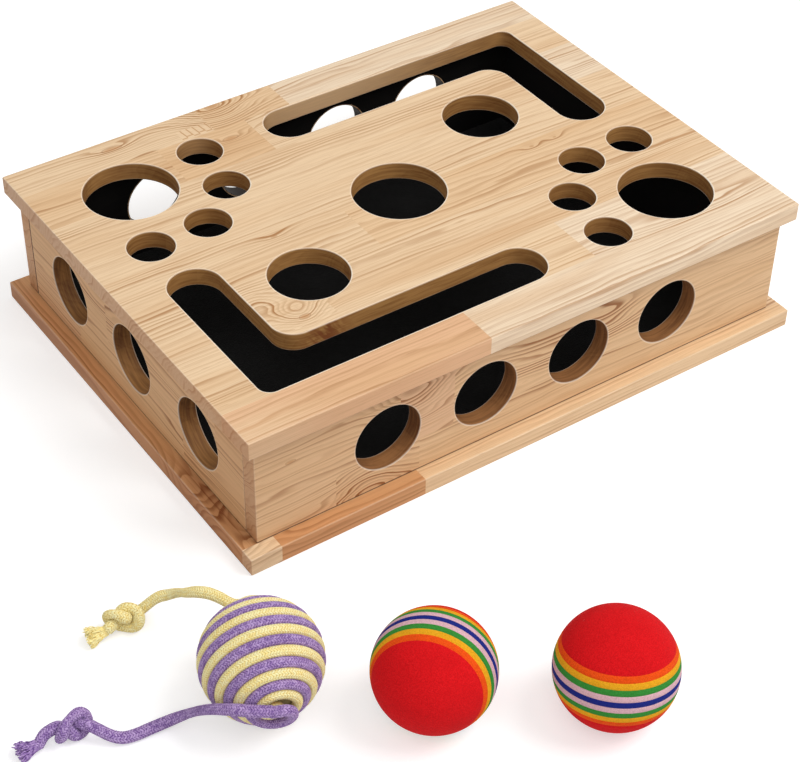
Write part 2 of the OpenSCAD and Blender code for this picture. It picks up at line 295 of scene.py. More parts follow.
def cordMaterial(name, tones):
    material, pen, shader = newMaterial(name, {"Sheen Weight": 0.12, "Sheen Roughness": 0.6,
                                               "Specular IOR Level": 0.2})
    place = objectPlace(pen)
    around = pen.attribute("around", "Vector")
    height, count = braid(around, pen.attribute("run"), cordLook)
    fleck = pen.add("ShaderNodeTexWhiteNoise", {"noise_dimensions": "1D"}, {"W": count}, "Value")
    fibre = pen.noise(place, 2600, 2)
    speck = pen.noise(place, 1400, 2)
    patch = pen.noise(place, 90, 2)
    # painted shade on the side that lies against the next turn
    contactShade = abs(around.split()[1]).rise(0.85, 0.99) * pen.attribute("packed")
    crown, yarn, crease = (paint(tone) for tone in tones)
    # painted light on the braid: the pale crown tone leans a little to the raised yarns as painted
    # highlight, and the crease tone darkens the low grooves between yarns as painted shade
    colour = (height * 0.35 + fleck * 0.45 + speck * 1.4 + fibre * 0.4 - 0.8).rise(0.1, 0.9).mix(yarn, crown)
    colour = (height + speck * 0.5).rise(0.62, 0.15).mix(colour, crease)
    colour = (contactShade * 0.7).mix(colour, crease)
    colour = (patch.rise(0.35, 0.75) * 0.16).mix(colour, yarn, "MULTIPLY")
    finishMaterial(pen, shader, colour, 0.98 - height * 0.1, height + fibre * 0.35, 0.35 * mm, 0.9)
    return material


def strandMaterial(name, tones):  # loose yarns of the frayed ends
    material, pen, shader = newMaterial(name, {"Sheen Weight": 0.1, "Specular IOR Level": 0.2})
    place = objectPlace(pen)
    tuft = pen.noise(place, 700, 3)
    fibre = pen.noise(place, 4200, 2)
    crown, yarn, crease = (paint(tone) for tone in tones)
    colour = tuft.rise(0.3, 0.7).mix(yarn, crown)
    colour = (tuft.rise(0.45, 0.25) * 0.5).mix(colour, crease)
    finishMaterial(pen, shader, colour, 0.9 + fibre * 0.1, fibre, 0.1 * mm, 0.8)
    return material


def braidTree():
    tree, pen, given = newTree("braidedCord", {
        "Centre": "Vector", "Cord Width": "Float", "Cord Height": "Float", "Ring Step": "Float",
        "Relief": "Float", "Run Start": "Float", "Run Way": "Float", "Swell": "Float", "Packed": "Float",
        "Material": "Material"})
    path = pen.add("GeometryNodeMeshToCurve", {}, {0: given["Geometry"]})
    path = pen.add("GeometryNodeResampleCurve", {"mode": "LENGTH"},
                   {"Curve": path, "Length": given["Ring Step"]})
    here = pen.add("GeometryNodeInputPosition")
    outward = pen.vectorMaths("SUBTRACT", here, given["Centre"])
    path = pen.add("GeometryNodeSetCurveNormal", {"mode": "FREE"}, {"Curve": path, "Normal": outward})
    gone = pen.add("GeometryNodeSplineParameter", {}, {}, "Length")
    path = path.store("run", given["Run Start"] + given["Run Way"] * gone)
    # packed: how much painted contact shade the wound cord takes along its length
    path = path.store("packed", given["Packed"] * gone.rise(*cordLook["settled"]))
    ring = pen.add("GeometryNodeCurvePrimitiveCircle", {"mode": "RADIUS"}, {"Resolution": 36, "Radius": 1.0})
    ring = ring.store("around", pen.add("GeometryNodeInputPosition"), "FLOAT_VECTOR")
    size = pen.vector(given["Cord Height"] * 0.5, given["Cord Width"] * 0.5, 1.0)
    ring = pen.add("GeometryNodeTransform", {}, {"Geometry": ring, "Scale": size})
    swell = 1 + given["Swell"] * gone.rise(*cordLook["loose"])
    tube = pen.add("GeometryNodeCurveToMesh", {},
                   {"Curve": path, "Profile Curve": ring, "Scale": swell, "Fill Caps": True})
    height = braid(pen.stored("around", "FLOAT_VECTOR"), pen.stored("run"), cordLook)[0]
    offset = pen.add("GeometryNodeInputNormal").scaled((height - 0.75) * given["Relief"])
    tube = pen.add("GeometryNodeSetPosition", {}, {"Geometry": tube, "Offset": offset})
    tube = pen.add("GeometryNodeSetShadeSmooth", {}, {"Geometry": tube})
    corners = pen.add("GeometryNodeInputMeshFaceNeighbors")
    caps = corners.maths("GREATER_THAN", corners, 4.5)
    tube = pen.add("GeometryNodeSetShadeSmooth", {},
                   {"Geometry": tube, "Shade Smooth": False, "Selection": caps})
    endTree(pen, tube, given["Material"])
    return tree


def frayTree():
    tree, pen, given = newTree("frayedEnd", {
        "Aim": "Vector", "Strands": "Int", "Bundle Width": "Float", "Reach": "Float", "Spread": "Float",
        "Curl": "Float", "Strand Width": "Float", "Floor": "Float", "Seed": "Int", "Material": "Material"})

    def chance(low, high, shift):
        return pen.add("FunctionNodeRandomValue", {"data_type": "FLOAT"},
                       {"Min": low, "Max": high, "Seed": given["Seed"] + shift}, 1)

    tip = pen.add("GeometryNodeSampleIndex", {"data_type": "FLOAT_VECTOR", "domain": "POINT"},
                  {"Geometry": given["Geometry"], "Value": pen.add("GeometryNodeInputPosition"), "Index": 0})
    aim = pen.vectorMaths("NORMALIZE", given["Aim"])
    side = pen.vectorMaths("NORMALIZE", pen.vectorMaths("CROSS_PRODUCT", aim, (0, 0, 1)))
    top = pen.vectorMaths("CROSS_PRODUCT", side, aim)
    angle = chance(0.0, 2 * math.pi, 1)
    far = chance(0.0, 1.0, 2) ** 0.5
    swing = pen.vectorMaths("ADD", side.scaled(far * angle.maths("COSINE", angle)),
                            top.scaled(far * angle.maths("SINE", angle)))
    root = pen.vectorMaths("ADD", tip, swing.scaled(given["Bundle Width"] * 0.5))
    dots = pen.add("GeometryNodePoints", {}, {"Count": given["Strands"], "Position": root})
    dots = dots.store("root", root, "FLOAT_VECTOR")
    dots = dots.store("swing", swing, "FLOAT_VECTOR")
    dots = dots.store("reach", given["Reach"] * chance(0.72, 1.0, 3))
    line = pen.add("GeometryNodeCurvePrimitiveLine", {"mode": "POINTS"},
                   {"Start": (0, 0, 0), "End": (0, 0, 1)})
    line = pen.add("GeometryNodeResampleCurve", {"mode": "COUNT"}, {"Curve": line, "Count": 8})
    yarns = pen.add("GeometryNodeInstanceOnPoints", {}, {"Points": dots, "Instance": line})
    yarns = pen.add("GeometryNodeRealizeInstances", {}, {0: yarns})
    part = pen.add("GeometryNodeSplineParameter", {}, {}, "Factor")
    out = aim.scaled(pen.stored("reach") * part)
    spread = pen.stored("swing", "FLOAT_VECTOR").scaled(part ** 1.5 * given["Spread"])
    place = pen.vectorMaths("ADD", pen.stored("root", "FLOAT_VECTOR"), out)
    place = pen.vectorMaths("ADD", place, spread)
    wave = pen.noise(place, 520.0, 1.0).other("Color")
    wave = pen.vectorMaths("SUBTRACT", wave, (0.5, 0.5, 0.5))
    place = pen.vectorMaths("ADD", place, wave.scaled(part * given["Curl"]))
    x, y, z = place.split()
    place = pen.vector(x, y, z.maths("MAXIMUM", z, given["Floor"] + given["Strand Width"] * 0.5))
    yarns = pen.add("GeometryNodeSetPosition", {}, {"Geometry": yarns, "Position": place})
    ring = pen.add("GeometryNodeCurvePrimitiveCircle", {"mode": "RADIUS"},
                   {"Resolution": 5, "Radius": given["Strand Width"] * 0.5})
    yarns = pen.add("GeometryNodeCurveToMesh", {},
                    {"Curve": yarns, "Profile Curve": ring, "Fill Caps": True})
    yarns = pen.add("GeometryNodeSetShadeSmooth", {}, {"Geometry": yarns})
    endTree(pen, yarns, given["Material"])
    return tree


ropeBall = {
    "place": (-0.246, -0.2335, 0.0335),
    "turn": (71.2, -96.2, 31.9),   # about Z, Y and the ball's own axis
    "coreRadius": 28.4 * mm,
    "coreTone": "#b9a878",
    "windRadius": 31.0 * mm,       # to the middle of the cord
    "cordWidth": 6.05 * mm,
    "cordHeight": 5.3 * mm,
    "stub": (6.2 * mm, 2.48 * mm),  # straight bits past the first and the last turn
    "turnStep": 21.0,              # degrees from pole to pole for one turn
    "poleAngle": 6.0,
    "lastTurn": 181 / 24 + 0.85,
    "endAngle": 176.0,             # where the last turn closes over the pole
    "tuck": (4.0, 0.5),            # degrees that the last turn draws in, turns that it takes
    "lift": (6.1 * mm, 0.9),       # height of the loose end over the first turn, turns that it takes
    "firstTurn": {"purple": 4 / 24, "yellow": -2 / 24},
}

tails = {
    "width": 6.6 * mm,
    "fray": {"Strands": 140, "Bundle Width": 5.4 * mm, "Reach": 12.5 * mm, "Spread": 3.6 * mm,
             "Curl": 4.5 * mm, "Strand Width": 0.62 * mm, "Floor": 0.0, "Seed": 7},
    # middle line of an overhand knot pulled tight, in mm: along the cord, and two ways across it
    "knotTurns": [(-10.6, 1.1, 0), (-7.7, 1.2, -0.1), (-4.8, 1.6, -0.7), (-2.5, 2.5, -2.1),
                  (-0.6, 4.4, -3.1), (1.5, 6.3, -2.5), (3.5, 7.3, -0.7), (5.1, 7.1, 1.8),
                  (5.9, 5.7, 4.1), (5.8, 3.3, 5.8), (4.9, 0.6, 6.2), (3.3, -1.7, 5.4),
                  (1.6, -3.1, 3.6), (-0.1, -3.6, 1.2), (-1.7, -3.7, -1.3), (-3.4, -3.3, -3.6),
                  (-5.1, -1.8, -5.4), (-6.4, 0.7, -6.1), (-7.0, 3.5, -5.6), (-6.8, 5.9, -3.9),
                  (-5.7, 7.2, -1.6), (-3.9, 7.3, 0.7), (-1.8, 6.0, 2.3), (0.2, 4.0, 2.6),
                  (2.2, 2.2, 1.5), (4.8, 1.5, 0.4), (7.7, 1.2, 0.1)],
    "knotSide": (0.249, -0.065, -0.966),  # a direction that the knot's line never runs in
    "purple": {
        "route": [(-13.857, -34.9, 36.366), (-19.3, -32.6, 37.9), (-24.6, -29.2, 38.4), (-29.2, -24.5, 37.6),
                  (-32.8, -18.9, 34.9), (-35.5, -12.4, 30.4), (-37.8, -5.6, 24.6), (-39.8, 0.6, 18.4),
                  (-42.2, 6, 12.4), (-46.2, 10.6, 7.4), (-52.2, 13.6, 4.4), (-60, 15, 3.4),
                  (-67.6, 15.6, 3.4), (-74, 17.4, 3.6), (-79.2, 21.2, 5.2)],
        "knot": (-94.4, 35.4), "heading": 152, "turn": 36, "roll": 275,
        "end": [(-107.6, 38.6, 7.6), (-112.2, 37.0, 4.6)],
        "aim": (-0.985, 0.1, -0.12),
    },
    "yellow": {
        "route": [(7.851, 36.704, 36.96), (4.2, 39.1, 39.3), (0.9, 42.8, 41.8), (-2.8, 47.7, 42.9),
                  (-6.9, 53.2, 41.7), (-9.7, 58.8, 38.1), (-10, 64.2, 33.2), (-8.5, 68.9, 27.8),
                  (-8.6, 74.2, 22.9), (-11.5, 79.4, 18.7), (-16.8, 83.3, 15.7)],
        "knot": (-36.9, 85.0), "heading": 184, "turn": -10, "roll": 100,
        "end": [(-46.6, 85.4, 6.4)],
        "aim": (-0.96, 0.2, -0.2),
    },
}


def windingPath(spec, colour):
    first, last = spec["firstTurn"][colour], spec["lastTurn"]
    (drawn, drawnOver), (lifted, liftedOver) = spec["tuck"], spec["lift"]
    points = []
    count = int((last - first) * 90)
    for i in range(count + 1):
        k = first + (last - first) * i / count
        polar = spec["poleAngle"] + spec["turnStep"] * k + drawn * ease(1 - (last - k) / drawnOver)
        polar = math.radians(min(polar, spec["endAngle"]))
        far = spec["windRadius"] + lifted * ease(1 - (k - first) / liftedOver)
        angle = -2 * math.pi * k
        level = far * math.sin(polar)
        points.append(Vector((level * math.cos(angle), level * math.sin(angle), far * math.cos(polar))))
    points.insert(0, points[0] + (points[0] - points[1]).normalized() * spec["stub"][0])
    points.append(points[-1] + (points[-1] - points[-2]).normalized() * spec["stub"][1])
    if colour == "yellow":
        points = [Vector((-p.x, p.y, -p.z)) for p in points]
    about, tilt, own = (math.radians(a) for a in spec["turn"])
    turn = Matrix.Rotation(about, 3, "Z") @ Matrix.Rotation(tilt, 3, "Y") @ Matrix.Rotation(own, 3, "Z")
    return [turn @ p + Vector(spec["place"]) for p in points]


def smoothPath(points, steps):  # even curve through the points
    line = [points[0] * 2 - points[1]] + list(points) + [points[-1] * 2 - points[-2]]
    result = []
    for a, b, c, d in zip(line, line[1:], line[2:], line[3:]):
        for i in range(steps):
            t = i / steps
            result.append(0.5 * ((2 * b) + (c - a) * t + (2 * a - 5 * b + 4 * c - d) * t ** 2
                                 + (3 * b - a - 3 * c + d) * t ** 3))
    result.append(points[-1])
    return result


def tailPath(spec, steps=6):  # the free cord, the knot with its end, and a point far to the knot's side
    base = Vector((ropeBall["place"][0], ropeBall["place"][1], 0))
    heading, roll = math.radians(spec["heading"]), math.radians(spec["roll"])
    reach = abs(tails["knotTurns"][0][0])
    bend = math.radians(spec["turn"]) / 2 / reach

    def lay(point):  # from the knot's own frame, bent along the cord
        run, y, z = point
        side = y * math.cos(roll) - z * math.sin(roll)
        lift = y * math.sin(roll) + z * math.cos(roll)
        ahead, left = math.sin(bend * run) / bend, (1 - math.cos(bend * run)) / bend
        turned = heading + bend * run
        dx = ahead * math.cos(heading) - left * math.sin(heading) - side * math.sin(turned)
        dy = ahead * math.sin(heading) + left * math.cos(heading) + side * math.cos(turned)
        return Vector((spec["knot"][0] + dx, spec["knot"][1] + dy, lift))

    turns = [lay(point) for point in tails["knotTurns"]]
    rest = tails["width"] / 2 / mm - min(point.z for point in turns)
    turns = [point + Vector((0, 0, rest)) for point in turns]
    points = [Vector(p) for p in spec["route"]] + turns + [Vector(p) for p in spec["end"]]
    whole = smoothPath([base + p * mm for p in points], steps)
    cut = steps * len(spec["route"])
    side = lay(tails["knotSide"]) - lay((0, 0, 0))
    return whole[:cut + 1], whole[cut:], whole[cut] - side.normalized() * 10


def makeRopeBall():
    cordTree = braidTree()
    tuftTree = frayTree()
    for colour in ("purple", "yellow"):
        cordSkin = cordMaterial(colour + "Cord", cordLook[colour])
        tuftSkin = strandMaterial(colour + "Yarn", cordLook[colour])
        sizes = {"Ring Step": cordLook["step"], "Relief": cordLook["relief"], "Material": cordSkin}
        loose = {**sizes, "Cord Width": tails["width"], "Cord Height": tails["width"], "Run Way": -1.0}
        spec = tails[colour]
        path, tied, away = tailPath(spec)
        length = sum((b - a).length for a, b in zip(path, path[1:]))
        tail = growTree(pathObject(colour + "_tail_cord", path), cordTree,
                        {**loose, "Centre": (0.0, 0.0, -10.0)})
        knot = growTree(pathObject(colour + "_tail_knot", tied), cordTree,
                        {**loose, "Centre": tuple(away), "Run Start": -length})
        tip = tied[-1]
        tuft = growTree(pathObject(colour + "_tail_fray", [tip, tip + Vector(spec["aim"]) * mm]), tuftTree,
                        {**tails["fray"], "Aim": spec["aim"], "Material": tuftSkin})
        settle(tail, "rope_ball", colour + "_cord", colour + "_tail")
        settle(knot, "rope_ball", colour + "_cord", colour + "_knot")
        settle(tuft, "rope_ball", colour + "_cord")
        winding = growTree(pathObject(colour + "_cord_winding", windingPath(ropeBall, colour)), cordTree,
                           {**sizes, "Centre": ropeBall["place"], "Cord Width": ropeBall["cordWidth"],
                            "Cord Height": ropeBall["cordHeight"], "Run Way": 1.0, "Swell": 0.12,
                            "Packed": 1.0})
        settle(winding, "rope_ball", colour + "_cord", colour + "_winding")
        print(colour, "cord", len(winding.data.polygons), "faces, tail", round(length, 4), "m")


makeRopeBall()


# Foam: the striped balls and the core of the rope ball
foamBalls = {
    "radius": 33.5 * mm,
    "layer": 3.4 * mm,
    "seam": (0.3 * mm, 0.75 * mm),  # how deep and how wide the skin dips at a seam
    "facet": 0.55 * mm,             # from ring to ring of the skin
    "steps": 144,
    "foam_ball_a": {"node": "ball_a", "place": (-0.1755, -0.289, 0.0335), "turn": (220, 79)},
    "foam_ball_b": {"node": "ball_b", "place": (-0.096, -0.340, 0.0335), "turn": (52, 14)},
    "tones": {"blue": "#17247a", "pink": "#d8acb4", "green": "#338733", "yellow": "#e5a219",
              "orange": "#e84e08", "red": "#d50912"},  # from the middle out
}


def foamMaterial(name, tone):
    material, pen, shader = newMaterial(name, {"Specular IOR Level": 0.15})
    place = objectPlace(pen)
    cells = pen.add("ShaderNodeTexVoronoi", {}, {"Vector": place, "Scale": 1500.0}, "Distance")
    grain = pen.noise(place, 1100, 4, 0.65)
    patch = pen.noise(place, 60, 3)
    base = paint(tone)
    dark = tuple(c * 0.72 for c in base[:3]) + (1.0,)
    pale = tuple(min(1.0, c * 1.12 + 0.006) for c in base[:3]) + (1.0,)
    colour = grain.rise(0.35, 0.7).mix(base, pale)
    colour = (cells.rise(0.42, 0.72) * 0.5).mix(colour, dark)
    colour = (patch.rise(0.4, 0.75) * 0.25).mix(colour, dark)
    finishMaterial(pen, shader, colour, 0.8 + grain * 0.2, grain - cells * 0.5, 0.35 * mm, 0.7)
    return material


def levelRing(bm, r, z, steps):
    turns = [2 * math.pi * i / steps for i in range(steps)]
    return [bm.verts.new((r * math.cos(turn), r * math.sin(turn), z)) for turn in turns]


def bridge(bm, low, high):  # faces between two rings
    return [bm.faces.new(corners) for corners in zip(low, low[1:] + low[:1], high[1:] + high[:1], high)]


def turnedSolid(bm, profile, steps):  # closed solid of revolution, profile from axis to axis
    rings = [levelRing(bm, r, z, steps if r > 1e-7 else 1) for r, z in profile]
    for low, high in zip(rings, rings[1:]):
        for i in range(steps):
            j = (i + 1) % steps
            corners = [low[i % len(low)], low[j % len(low)], high[j % len(high)], high[i % len(high)]]
            kept = [v for n, v in enumerate(corners) if v not in corners[:n]]
            bm.faces.new(kept)


def foamProfile(low, high, spec):
    radius = spec["radius"]
    seamDeep, seamWide = spec["seam"]
    count = max(7, int((high - low) / spec["facet"]))
    profile = [(0.0, low)]
    for i in range(count + 1):
        t = i / count
        if high >= radius:  # the cap runs evenly round to the pole
            polar = math.acos(low / radius) * (1 - t)
            z = radius * math.cos(polar)
            r = radius * math.sin(polar)
            fromSeam = z - low
        else:
            z = low + (high - low) * t
            r = math.sqrt(max(radius ** 2 - z ** 2, 0))
            fromSeam = min(z - low, high - z)
        r -= seamDeep * (1 - ease(fromSeam / seamWide))
        profile.append((max(r, 0.0), z))
    if high < radius:
        profile.append((0.0, high))
    return profile


def makeFoamBalls():
    spec = foamBalls
    skins = {name: foamMaterial(name + "Foam", tone) for name, tone in spec["tones"].items()}
    limits = [spec["layer"] * (0.5 + i) for i in range(len(skins) - 1)] + [spec["radius"]]
    for body in ("foam_ball_a", "foam_ball_b"):
        ball = spec[body]
        about, tilt = (math.radians(a) for a in ball["turn"])
        turn = Matrix.Rotation(about, 4, "Z") @ Matrix.Rotation(tilt, 4, "Y")
        turn = Matrix.Translation(ball["place"]) @ turn
        for i, name in enumerate(skins):
            bm = bmesh.new()
            if i == 0:
                turnedSolid(bm, foamProfile(-limits[0], limits[0], spec), spec["steps"])
            else:
                profile = foamProfile(limits[i - 1], limits[i], spec)
                turnedSolid(bm, profile, spec["steps"])
                turnedSolid(bm, [(r, -z) for r, z in profile], spec["steps"])
            bm.transform(turn)
            bmesh.ops.recalc_face_normals(bm, faces=bm.faces)
            piece = meshFromBm(ball["node"] + "_" + name + "_foam", bm, [skins[name]])
            settle(piece, body, "foam_" + name, ball["node"] + "_" + name)
    core = bmesh.new()
    radius = ropeBall["coreRadius"]
    polars = [math.pi * i / 40 for i in range(41)]
    turnedSolid(core, [(radius * math.sin(polar), -radius * math.cos(polar)) for polar in polars], 64)
    core.transform(Matrix.Translation(ropeBall["place"]))
    bmesh.ops.recalc_face_normals(core, faces=core.faces)
    piece = meshFromBm("rope_ball_core", core, [foamMaterial("coreFoam", ropeBall["coreTone"])])
    settle(piece, "rope_ball", "rope_core", "rope_core")
    print("foam balls made")


makeFoamBalls()


# Wood of the boards: edge-glued strips of short blocks. A strip runs along the first axis in "axes",
# lies beside the next along the second, and its sizes are in millimetres.
wood = {
    "top": {
        "axes": "xyz", "seed": 3.0, "pitch": 4.0, "sway": 12.0, "curl": 5.5, "lean": 0.03,
        "late": "#ad7c4e", "lateShare": 0.95, "sawn": ("#ae7f47", "#6d3e15"), "rimBack": True,
        "edges": [-120.5, -80, -40, 0, 40.5, 81, 121],   # between the strips, from front to back
        "cuts": [(-38, 200), (-150, 60), (-98, 200), (-41, 200), (-200, 200), (-200, 150), (-105, -40),
                 (-62, -5)],
        "tones": ["pink pale pale", "cream cream pale", "cream cream cream", "cream warm cream",
                  "cream cream cream", "cream cream pale", "warm tan cream", "cream warm pale"],
        # ovals (x, y, half sizes) with how far they bend the rings, or how strong they are
        "bumps": [(-50, 146, 26, 22, 7.0), (-128, 138, 17, 5, 2.2), (-116, -68, 13, 11, 5.0),
                  (-134, -50, 12, 16, -3.0), (-58, 108, 16, 5, 2.6), (99, -7, 9, 4, 1.6),
                  (118, -6, 8, 4, 1.4), (-90, 2, 12, 4, 1.2), (150, -118, 60, 12, 3.0)],
        "knots": [(-128, 138.5, 6.5, 2.2), (-58, 107.5, 5.5, 2.2), (-49, 147, 5.0, 3.6),
                  (99, -6.5, 1.4, 0.8), (118, -6, 1.0, 0.7), (-90.5, 2, 2.0, 0.8), (-116, -73, 3.4, 2.0)],
        "ladder": (-85, -62.5, 122.0, 132.5),
        "cutPatches": [(20, 121, 85, 7, 0.7), (-110, -86, 14, 5, -0.9)],   # pale, or dark below 0
        "flames": [(-75, 104, 36, 13, 0.5), (75, -113, 48, 6, 0.9), (150, -62, 60, 9, 0.4),
                   (60, -70, 90, 15, 0.35), (188, 34, 26, 8, 0.5), (186, -50, 26, 5, 0.8),
                   (-40, -96, 120, 8, 0.3), (-50, 146, 9, 12, 0.6), (-195, -142, 40, 16, -0.6)],
    },
    "long": {
        "axes": "xzy", "seed": 11.0, "pitch": 4.0, "sway": 26.0, "curl": 8.0, "lean": 0.06,
        "late": "#96623a", "lateShare": 1.0, "sawn": ("#946439", "#532d13"), "seam": 12.0,
        "edges": [36],
        "cuts": [(-140, -82), (-96, -58)],
        "tones": ["wall wall wall", "wall wallPink wall"],
        "bumps": [(-88, 74, 26, 20, 6.0), (-118, 18, 24, 16, -5.0), (20, 60, 40, 18, 2.5),
                  (60, 62, 22, 12, 3.0)],
        "knots": [(-170, 63, 3.2, 1.2)],
    },
    "short": {
        "axes": "yzx", "seed": 23.0, "pitch": 3.8, "sway": 15.0, "curl": 4.0, "lean": 0.03,
        "late": "#94613a", "lateShare": 0.9, "sawn": ("#966838", "#512c12"), "seam": 12.0,
        "edges": [40],
        "cuts": [(-60, 70), (-100, 30)],
        "tones": ["sideWarm side sidePink", "sideWarm side side"],
        "bumps": [(40, 66, 30, 10, 2.4), (-70, 30, 34, 10, 2.0)],
        "knots": [],
    },
    "base": {
        "axes": "xyz", "seed": 41.0, "pitch": 3.6, "sway": 10.0, "curl": 4.0, "lean": 0.03,
        "late": "#8f5529", "lateShare": 0.9, "sawn": ("#c59a6b", "#82572f"),
        "edges": [-142, -80, -40, 0, 40, 80, 120],
        "cuts": [(-183, -84), (-190, 100), (-190, 20), (-190, 130), (-190, 60), (-190, 150), (-190, 40),
                 (-190, 90)],
        "tones": ["cream amber warm", "amber tan cream", "amber cream cream", "amber cream tan",
                  "amber tan cream", "amber cream pink", "amber cream tan", "amber cream tan"],
        "bumps": [(-60, -130, 30, 10, 3.0), (90, 40, 40, 16, 4.0), (-100, 60, 30, 14, -3.5),
                  (-214, -78, 15, 24, 7.0), (-184, -120, 13, 20, -7.0)],
        "knots": [(92, 42, 6, 3)],
        "turned": (-190, -142),   # left of the first and behind the second the grain runs the other way
        "flames": [(-198, -98, 30, 36, 1.4)],
        "flameTone": "heart",
    },
}

woodTones = {
    "cream": "#eacca6", "pale": "#eed8bb", "warm": "#e6c49b", "tan": "#e2bd92", "pink": "#e2b48c",
    "amber": "#cc9363", "wall": "#dfba90", "wallPink": "#ddb58f", "side": "#d7aa7c", "sidePink": "#d5a67c",
    "sideWarm": "#d4a475", "seam": "#3d1f10", "heart": "#7a3f1c", "band": "#d4a878", "streak": "#b67f49",
    "fibre": "#b08352", "pore": "#93643a", "knot": "#b57a42", "knotEdge": "#8a5528", "end": "#ad7147",
    "rim": "#fff4e2", "stain": "#0b0a09",
}


def woodMaterial(name, look):
    material, pen, shader = newMaterial(name, {"Specular IOR Level": 0.3})
    tones = {key: paint(code) for key, code in woodTones.items()}
    place = pen.vectorMaths("MULTIPLY", objectPlace(pen), (1000.0, 1000.0, 1000.0))
    axis = dict(zip("xyz", place.split()))
    along, across, through = (axis[letter] for letter in look["axes"])

    def lookup(number, rows):  # row of a table, as a colour
        stops = [(i / 32, tuple(row[:3]) + (1.0,)) for i, row in enumerate(rows)]
        return pen.add("ShaderNodeValToRGB", {"stops": stops}, {"Fac": (number + 0.5) / 32})

    def luckOf(number, out):
        return pen.add("ShaderNodeTexWhiteNoise", {"noise_dimensions": "1D"}, {"W": number}, out)

    def spot(x, y, wide, high):  # 0 in the middle of an oval, 1 on its edge
        return ((along - x) / wide) ** 2 + ((across - y) / high) ** 2

    def patch(*oval):  # 1 in the middle, soft to all sides
        far = spot(*oval)
        return far.maths("EXPONENT", far * -1.0)

    grain, cross = along, across
    if "turned" in look:
        left, front = look["turned"]
        other = along.maths("LESS_THAN", along, left) * across.maths("GREATER_THAN", across, front)
        grain = along + (across - along) * other
        cross = across + (along - across) * other

    def streaks(length, width, shift, detail=2.0):  # noise drawn out along the grain
        return pen.noise(pen.vector(grain / length, cross / width, through / width + shift), 1.0, detail)

    strip = sum((across.maths("GREATER_THAN", across, edge) for edge in look["edges"]), 0.0)
    if "turned" in look:
        strip = strip + (1 - strip) * other
    reach = 210   # more than half of any board: a cut is a share of the way from -reach to reach
    cuts = [((a + reach) / (2 * reach), (b + reach) / (2 * reach), 0) for a, b in look["cuts"]]
    first, second = lookup(strip, cuts).split()[:2]
    part = (along + reach) / (2 * reach)
    block = part.maths("GREATER_THAN", part, first) + part.maths("GREATER_THAN", part, second)
    number = strip * 3 + block
    tone = lookup(number, [tones[word] for row in look["tones"] for word in row.split()])
    one, two, three = luckOf(number + look["seed"], "Color").split()
    # growth rings, as nearly straight lines that sway, crowd and bend round knots
    wave = streaks(160, 32, one * 9) - 0.5
    curl = streaks(52, 13, three * 5, 1.0) - 0.5
    ripple = streaks(20, 4.5, two * 9, 1.0) - 0.5
    crowd = streaks(900, 15, three * 9, 1.0)
    rings = cross + through * 0.7 + wave * look["sway"] + curl * look["curl"] + ripple * 1.5
    rings = (rings + (one - 0.5) * look["lean"] * grain) / look["pitch"] + crowd * 5 + two * 5
    bend = 0.0
    for *oval, lift in look["bumps"]:
        near = patch(*oval)
        rings = rings + near * lift
        bend = bend + near
    turn = rings.fract()
    strength = luckOf(rings.floor() + number * 7, "Value") ** 1.5 * 0.85 + 0.15
    late = turn.rise(0.2, 0.86) * turn.rise(1.0, 0.88) * strength
    fade = streaks(110, 13, three * 7).rise(0.25, 0.65)
    band = streaks(240, 20, one * 5).rise(0.42, 0.75)
    streak = streaks(170, 2.6, two * 7).rise(0.6, 0.78)
    fibre = streaks(32, 0.42, 0.0)
    pores = streaks(12, 0.55, 3.0, 1.0).rise(0.68, 0.8)
    colour = (band * 0.4).mix(tone, tones["band"])
    colour = (late * (fade * 0.8 + 0.2 + bend * 1.3) * look["lateShare"]).mix(colour, paint(look["late"]))
    colour = (streak * 0.4).mix(colour, tones["streak"])
    for *oval, share in look.get("flames", []):  # patches of warm heartwood, or pale ones below 0
        flame = patch(*oval) * abs(share)
        if share > 0:
            tint = tones[look.get("flameTone", "streak")]
            colour = (flame * (late * 0.6 + band * 0.5 + streak * 0.5)).mix(colour, tint)
        else:
            colour = (flame * (1 - late)).mix(colour, tones["cream"])
    colour = (fibre.rise(0.6, 0.3) * 0.26).mix(colour, tones["fibre"])
    colour = (pores * 0.3).mix(colour, tones["pore"])
    for oval in look["knots"]:
        far = spot(*oval) + wave * 0.8 + ripple * 0.5
        colour = (far.rise(1.4, 0.1) * 0.5).mix(colour, tones["knot"])
        colour = (far.rise(1.5, 1.1) * far.rise(0.7, 1.1) * 0.4).mix(colour, tones["knotEdge"])
    if "ladder" in look:  # fingers of a joint that come up through the face
        left, right, low, high = look["ladder"]
        inside = along.rise(left, left + 0.4) * along.rise(right, right - 0.4)
        inside = inside * across.rise(low, low + 0.4) * across.rise(high, high - 0.4)
        rung = (along - left + (across - low) * 0.12) / 4.5
        odd = (rung.floor() * 0.5).fract() * 2
        start = low + 1.0 + odd * 1.6
        line = abs(rung.fract() - 0.5).rise(0.36, 0.44) * across.rise(start, start + 0.4)
        line = line.maths("MAXIMUM", line, abs(across - start).rise(0.7, 0.3))
        colour = (inside * 0.5).mix(colour, tones["cream"])
        colour = (inside * line * 0.7).mix(colour, tones["streak"])
